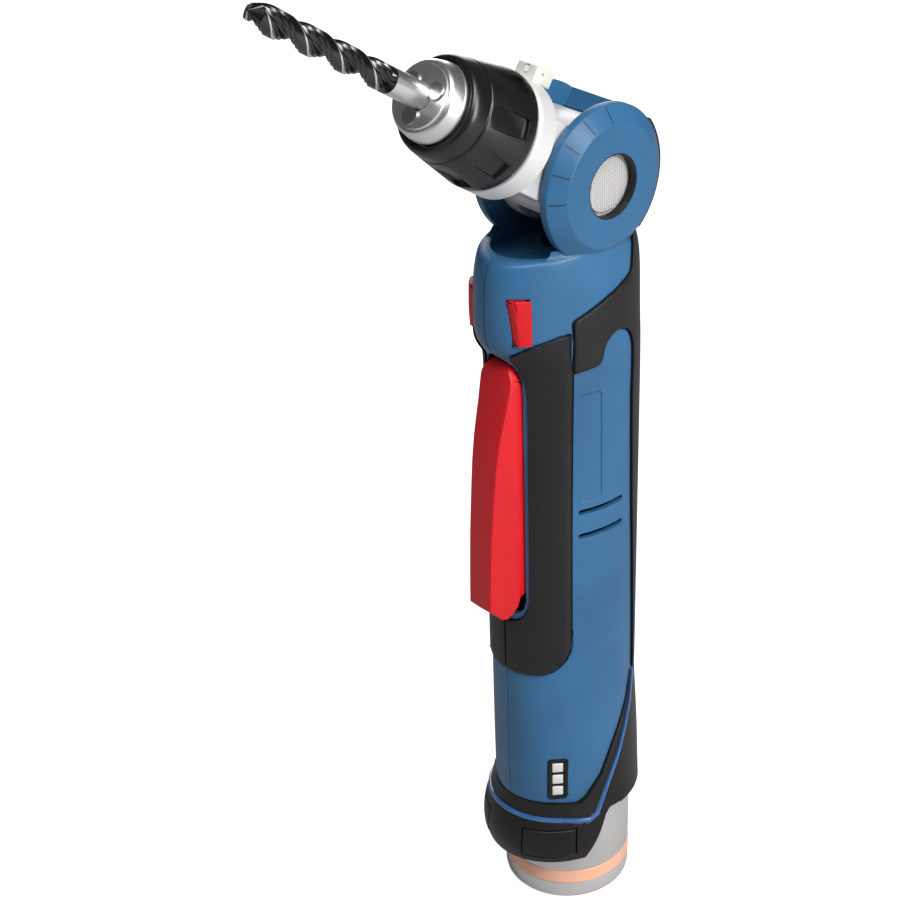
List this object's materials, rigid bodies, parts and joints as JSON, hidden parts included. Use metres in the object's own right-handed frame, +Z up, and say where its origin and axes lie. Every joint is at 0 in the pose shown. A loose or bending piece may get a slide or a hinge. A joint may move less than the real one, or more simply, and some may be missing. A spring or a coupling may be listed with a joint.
{
  "type": "right angle drill",
  "caption": "Cordless right angle drill with a tilting head, keyless chuck and twist bit, paddle trigger on a slim upright handle and a slide-out battery.",
  "frame": {"origin": "centre of the battery's flat bottom, on the handle's axis", "axes": "+Z up along the handle to the hinge, -Y towards the trigger and the chuck, X along the head's hinge"},
  "size_m": [0.0524, 0.1415, 0.3513],
  "materials": {
    "blue_plastic": "satin moulded",
    "black_rubber": "soft matte",
    "black_plastic": "matte moulded",
    "red_plastic": "semi gloss",
    "housing_alloy": "die cast, blasted",
    "button_alloy": "finely dimpled",
    "sleeve_plastic": "satin",
    "bright_steel": "ground bright",
    "machine_steel": "machined",
    "magnet": "sintered",
    "iron_core": "stacked sheets",
    "bronze": "plain",
    "board_green": "circuit board",
    "clear_window": "clear moulded",
    "battery_grey": "satin",
    "orange_band": "satin",
    "cell_jacket": "shrink sleeve"
  },
  "bodies": {
    "body": {"right_shell": "blue_plastic", "left_shell": "blue_plastic", "right_grip": "black_rubber", "left_grip": "black_rubber", "rear_grip": "black_rubber", "base_collar": "black_plastic", "shell_screws": "machine_steel", "hinge_cap": "blue_plastic", "idler_pin": "machine_steel", "motor_can": "machine_steel", "motor_magnets": "magnet", "motor_endcap": "black_plastic", "motor_brushes": "magnet", "motor_bushes": "bronze", "ring_gear": "machine_steel", "gearbox_plate": "machine_steel", "pinion_bearing": "machine_steel", "switch_module": "black_plastic", "trigger_pin": "machine_steel", "gauge_board": "board_green", "gauge_window": "clear_window", "terminal_block": "black_plastic", "terminal_blades": "bronze"},
    "head": {"gear_housing": "housing_alloy", "housing_cover": "housing_alloy", "spindle_bearings": "machine_steel", "led_lamp": "housing_alloy", "led_lens": "clear_window", "lock_spring": "machine_steel"},
    "bearing_cages": {"bearing_cages": "bronze"},
    "spindle": {"spindle": "machine_steel", "spindle_bevel": "machine_steel", "chuck_body": "bright_steel", "chuck_screw": "machine_steel"},
    "sleeve": {"chuck_sleeve": "sleeve_plastic", "chuck_nut": "machine_steel"},
    "jaw_1": {"jaw_1": "machine_steel"},
    "jaw_2": {"jaw_2": "machine_steel"},
    "jaw_3": {"jaw_3": "machine_steel"},
    "bit": {"drill_bit": "bright_steel"},
    "lock": {"lock_button": "button_alloy"},
    "idler": {"idler_bevel": "machine_steel"},
    "output": {"output_carrier": "machine_steel", "bevel_pinion": "machine_steel"},
    "planet_1": {"planet_1": "machine_steel"},
    "planet_2": {"planet_2": "machine_steel"},
    "planet_3": {"planet_3": "machine_steel"},
    "rotor": {"motor_shaft": "machine_steel", "armature": "iron_core", "commutator": "bronze"},
    "trigger": {"trigger": "red_plastic"},
    "direction": {"direction_switch": "red_plastic"},
    "battery": {"battery_base": "battery_grey", "battery_stem": "black_plastic", "battery_band": "orange_band", "battery_cells": "cell_jacket", "battery_terminals": "black_plastic"},
    "release_right": {"release_right": "black_plastic"},
    "release_left": {"release_left": "black_plastic"}
  },
  "joints": [
    {"name": "head_tilt", "type": "hinge", "parent": "body", "child": "head", "pos_m": [0, 0, 0.273], "axis": [-1, 0, 0], "range_deg": [-33.75, 56.25]},
    {"name": "spindle_roll", "type": "hinge", "parent": "head", "child": "bearing_cages", "pos_m": [0, -0.01663, 0.28411], "axis": [0, -0.8315, 0.5556], "range_deg": [-60, 100]},
    {"name": "spindle_spin", "type": "hinge", "parent": "bearing_cages", "child": "spindle", "pos_m": [0, -0.01663, 0.28411], "axis": [0, -0.8315, 0.5556], "continuous": true},
    {"name": "idler_spin", "type": "hinge", "parent": "body", "child": "idler", "pos_m": [0, 0, 0.273], "axis": [1, 0, 0], "continuous": true},
    {"name": "output_spin", "type": "hinge", "parent": "body", "child": "output", "pos_m": [0, 0, 0.25], "axis": [0, 0, -1], "continuous": true},
    {"name": "rotor_spin", "type": "hinge", "parent": "body", "child": "rotor", "pos_m": [0, 0, 0.2], "axis": [0, 0, -1], "continuous": true},
    {"name": "planet_1_spin", "type": "hinge", "parent": "output", "child": "planet_1", "pos_m": [0.00743, 0, 0.23], "axis": [0, 0, -1], "continuous": true},
    {"name": "planet_2_spin", "type": "hinge", "parent": "output", "child": "planet_2", "pos_m": [-0.00371, 0.00643, 0.23], "axis": [0, 0, -1], "continuous": true},
    {"name": "planet_3_spin", "type": "hinge", "parent": "output", "child": "planet_3", "pos_m": [-0.00371, -0.00643, 0.23], "axis": [0, 0, -1], "continuous": true},
    {"name": "sleeve_turn", "type": "hinge", "parent": "spindle", "child": "sleeve", "pos_m": [0, -0.04157, 0.30078], "axis": [0, -0.8315, 0.5556], "range_deg": [0, 720]},
    {"name": "jaw_1_slide", "type": "slide", "parent": "spindle", "child": "jaw_1", "axis": [-0.2569, 0.8862, -0.3856], "range_m": [0, 0.0033]},
    {"name": "jaw_2_slide", "type": "slide", "parent": "spindle", "child": "jaw_2", "axis": [-0.0202, 0.6195, -0.7848], "range_m": [0, 0.0033]},
    {"name": "jaw_3_slide", "type": "slide", "parent": "spindle", "child": "jaw_3", "axis": [0.2771, 0.8667, -0.4147], "range_m": [0, 0.0033]},
    {"name": "bit_slide", "type": "slide", "parent": "spindle", "child": "bit", "axis": [0, -0.8315, 0.5556], "range_m": [0, 0.06]},
    {"name": "trigger_squeeze", "type": "hinge", "parent": "body", "child": "trigger", "pos_m": [0, -0.0222, 0.212], "axis": [1, 0, 0], "range_deg": [0, 3.2], "stiffness_Nm_per_rad": 2, "springref_deg": -5.73},
    {"name": "direction_slide", "type": "slide", "parent": "body", "child": "direction", "axis": [1, 0, 0], "range_m": [-0.0025, 0.0025]},
    {"name": "lock_press", "type": "slide", "parent": "head", "child": "lock", "axis": [-1, 0, 0], "range_m": [0, 0.0022], "stiffness_N_per_m": 200, "springref_m": -0.005, "deforming": ["lock_spring"]},
    {"name": "release_right_press", "type": "slide", "parent": "body", "child": "release_right", "axis": [-0.5299, 0.848, 0], "range_m": [0, 0.0018], "stiffness_N_per_m": 200, "springref_m": -0.004},
    {"name": "release_left_press", "type": "slide", "parent": "body", "child": "release_left", "axis": [0.5299, 0.848, 0], "range_m": [0, 0.0018], "stiffness_N_per_m": 200, "springref_m": -0.004},
    {"name": "battery_slide", "type": "slide", "parent": "body", "child": "battery", "axis": [0, 0, -1], "range_m": [0, 0.09]}
  ],
  "couplings": [
    {"joint": "spindle_roll", "follows": "head_tilt", "ratio": 1.6667},
    {"joint": "idler_spin", "follows": "spindle_spin", "ratio": 0.6},
    {"joint": "output_spin", "follows": "spindle_spin", "ratio": 1},
    {"joint": "rotor_spin", "follows": "spindle_spin", "ratio": 6},
    {"joint": "planet_1_spin", "follows": "spindle_spin", "ratio": -2.5},
    {"joint": "planet_2_spin", "follows": "spindle_spin", "ratio": -2.5},
    {"joint": "planet_3_spin", "follows": "spindle_spin", "ratio": -2.5},
    {"joint": "jaw_1_slide", "follows": "sleeve_turn", "m_per_rad": 0.00025465},
    {"joint": "jaw_2_slide", "follows": "sleeve_turn", "m_per_rad": 0.00025465},
    {"joint": "jaw_3_slide", "follows": "sleeve_turn", "m_per_rad": 0.00025465}
  ]
}
